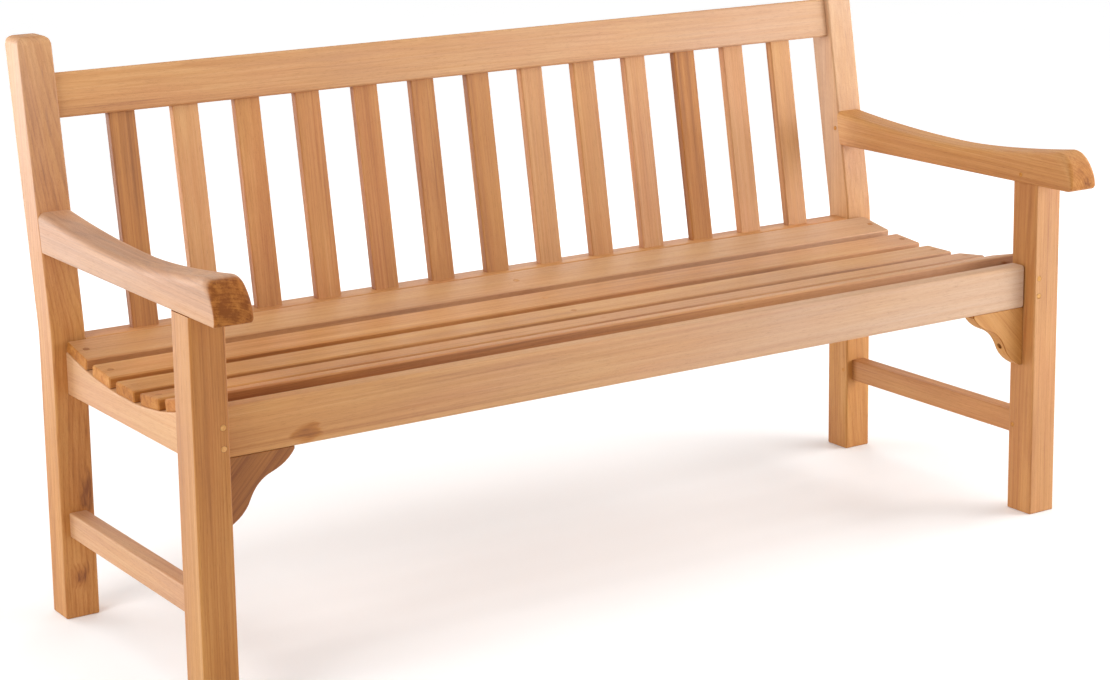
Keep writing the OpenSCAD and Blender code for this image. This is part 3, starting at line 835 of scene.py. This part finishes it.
def armrest(node, side):
    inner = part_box("armrest_right")[0].x
    arm = pillowed(profile("armrest_right", X, HALF_W), *span(side, inner, HALF_W), arm_radius)
    arm = drilled(arm, pockets[node])
    write_grain(arm, Vector((0, 1, 0.03)), node)
    piece(node + "_wood", arm, TEAK, node)


for side, hand in SIDES:
    board("rear_leg" + hand, mirrored(rear_leg_loop(), side), X, *span(side, LEG_X, HALF_W),
          ruled(2.5 * MM, 4 * MM, 4 * MM, rear_leg_radius), Vector((0, 0.05, 1)), pockets["rear_leg" + hand])
    board("front_leg" + hand, mirrored(profile("front_leg_right", Z, 0), side), Z, 0, ARM_Z,
          ruled(0.4 * MM, 0.4 * MM, 3.5 * MM, front_leg_radius), UPRIGHT, pockets["front_leg" + hand])
    armrest("armrest" + hand, side)
    low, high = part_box("side_rail_right")
    board("side_rail" + hand, mirrored(profile("side_rail_right", X, high.x), side), X,
          *span(side, low.x, high.x), ruled(1 * MM, 2.5 * MM, 0.6 * MM), ALONG_Y)
    board("side_stretcher" + hand, mirrored(profile("side_stretcher_right", Y, LEG_HIGH.y), side), Y,
          LEG_HIGH.y, REAR_LOW.y, ruled(0.8 * MM, 3 * MM, 0.8 * MM), ALONG_Y)


# ---- rails, seat and back ----

for name, radii in (("front_rail", (5.5 * MM, 5 * MM, 5 * MM)), ("rear_rail", (3.5 * MM, 1 * MM, 1 * MM)),
                    ("top_rail", (4.5 * MM, 1.2 * MM, 1.2 * MM))):
    board(name, profile(name, X, LEG_X), X, -LEG_X, LEG_X, ruled(*radii), ALONG_X)
low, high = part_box("seat_bearer")
board("seat_bearer", profile("seat_bearer", X, high.x), X, low.x, high.x,
      ruled(1 * MM, 1.5 * MM, 1 * MM), ALONG_Y)
for name in sorted(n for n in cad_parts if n.startswith("back_slat_")):
    low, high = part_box(name)
    board(name, profile(name, X, high.x), X, low.x, high.x, ruled(0.3 * MM, 2.5 * MM, 2.5 * MM), LEAN)

PLUG_GAP, PLUG_PROUD, PLUG_LENGTH = 0.25 * MM, 0.12 * MM, 5.5 * MM


def seat_slat(name, plugs, spans):
    """A seat slat; its plugs, sanded flush and with their grain along the slat's, are added to plugs."""
    low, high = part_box(name)
    loop = profile(name, X, high.x)
    face = max((loop[i] - loop[i - 1] for i in range(len(loop))), key=lambda v: v.length)
    up = face.cross(ALONG_X).normalized()
    up = up if up.z > 0 else -up
    holes = []
    for points in islands("seat_plugs"):
        middle = sum(points, Vector()) / len(points)
        if not low.y < middle.y < high.y:
            continue
        top = middle + up * max((p - middle).dot(up) for p in points)
        radius = max((p - middle - up * (p - middle).dot(up)).length for p in points)
        holes.append(pocket(top, up, radius + PLUG_GAP))
        before = len(plugs.verts)
        rod(plugs, top + up * PLUG_PROUD, top - up * PLUG_LENGTH, radius, ease=0.3 * MM)
        spans.append((len(plugs.verts) - before, ALONG_X, middle))
    board(name, loop, X, low.x, high.x, ruled(3.5 * MM, 3 * MM, 3 * MM), ALONG_X, holes)


plug_bm, plug_spans = bmesh.new(), []
for name in sorted(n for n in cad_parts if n.startswith("seat_slat_")):
    seat_slat(name, plug_bm, plug_spans)
bmesh.ops.recalc_face_normals(plug_bm, faces=plug_bm.faces)
plug_mesh = mesh_from(plug_bm, "seat_plugs")
write_peg_grain(plug_mesh, plug_spans, (0.2, 0.6))
piece("seat_plugs_wood", plug_mesh, PEG_WOOD, "seat_plugs")


# ---- corner brackets, with a counterbored hole for each screw ----

BORE = 5.15 * MM
BORE_BELOW, BORE_ABOVE = 3 * MM, 120 * MM


def bores(side):
    """The counterbores of one bracket, from below each screw's head to clear of the wood."""
    holes = []
    for points in islands("bracket_screws"):
        if points[0].x * side > 0:
            head, tip, _ = bar_of(points, Vector((-side, 0, -1)))
            way = (head - tip).normalized()
            holes.append((head + way * BORE_ABOVE, head - way * BORE_BELOW, BORE))
    return holes


low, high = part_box("corner_bracket_right")
for side, hand in SIDES:
    board("corner_bracket" + hand, mirrored(profile("corner_bracket_right", Y, low.y), side), Y,
          low.y, high.y, ruled(2 * MM, 1 * MM, 3 * MM), Vector((side, 0, -1)), bores(side))

for name in ("bracket_screws", "seat_screws"):
    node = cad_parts[name]
    node.data.materials.clear()
    node.data.materials.append(STEEL)


# ---- studio: pale floor, soft light, camera ----

def floor():
    """A wide plane, just below the feet."""
    bm = bmesh.new()
    bmesh.ops.create_grid(bm, x_segments=8, y_segments=8, size=60.0)
    mesh = mesh_from(bm, "studio_floor")
    mesh.materials.append(floor_material())
    obj = bpy.data.objects.new("studio_floor", mesh)
    bpy.context.scene.collection.objects.link(obj)
    obj.location.z = -0.2 * MM
    obj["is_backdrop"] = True


def soft_light(name, place, aim, width, height, power):
    """A white panel at place that faces aim; the camera doesn't see it."""
    data = bpy.data.lights.new(name, "AREA")
    data.shape = "RECTANGLE"
    data.size, data.size_y = width, height
    data.energy = power
    obj = bpy.data.objects.new(name, data)
    obj.location = place
    obj.rotation_mode = "QUATERNION"
    obj.rotation_quaternion = (Vector(aim) - Vector(place)).to_track_quat("-Z", "Y")
    obj.visible_camera = False
    bpy.context.scene.collection.objects.link(obj)


floor()
world = bpy.data.worlds.new("studio")
world.use_nodes = True
background = world.node_tree.nodes["Background"]
background.inputs["Color"].default_value = (1.0, 1.0, 1.0, 1.0)
background.inputs["Strength"].default_value = 0.48
bpy.context.scene.world = world
soft_light("rear_left", (-1.9, 2.6, 0.8), (-0.8, 0.0, 0.5), 2.0, 1.4, 58)
soft_light("left", (-3.2, -0.8, 1.9), (-0.8, 0.0, 0.5), 1.5, 1.5, 44)
soft_light("right", (3.2, -0.9, 1.1), (0.8, 0.0, 0.5), 2.4, 1.8, 78)
soft_light("front_right", (2.6, -1.9, 0.8), (0.8, -0.2, 0.4), 1.5, 1.2, 26)
soft_light("rear_right", (1.8, 2.6, 1.4), (0.6, 0.0, 0.6), 1.5, 1.2, 18)
soft_light("rear", (0.3, 3.2, 2.2), (0.0, 0.0, 0.5), 3.0, 1.2, 15)
soft_light("top", (0.0, -0.4, 3.4), (0.0, 0.0, 0.4), 3.0, 1.6, 32)

# The camera stands in front of the bench and beyond its left end, turned to the right.
# It looks slightly down, and its lens is shifted down.
camera_data = bpy.data.cameras.new("camera")
camera_data.sensor_width = 36.0
camera_data.lens = 82.55
camera_data.shift_y = -0.117
camera_data.clip_end = 200
camera = bpy.data.objects.new("camera", camera_data)
bpy.context.scene.collection.objects.link(camera)
azimuth, elevation, roll = (math.radians(v) for v in (-33.26, 11.28, -0.84))
forward = Vector((-math.sin(azimuth) * math.cos(elevation), math.cos(azimuth) * math.cos(elevation),
                  -math.sin(elevation)))
level = Vector((math.cos(azimuth), math.sin(azimuth), 0))
upward = level.cross(forward)
right = level * math.cos(roll) + upward * math.sin(roll)
upward = upward * math.cos(roll) - level * math.sin(roll)
placed = Matrix((right, upward, -forward)).transposed().to_4x4()
placed.translation = Vector((-2.2693, LEG_LOW.y - 3.1259, 1.4121))
camera.matrix_world = placed
bpy.context.scene.camera = camera
bpy.context.scene.view_settings.view_transform = "Standard"

low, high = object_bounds()
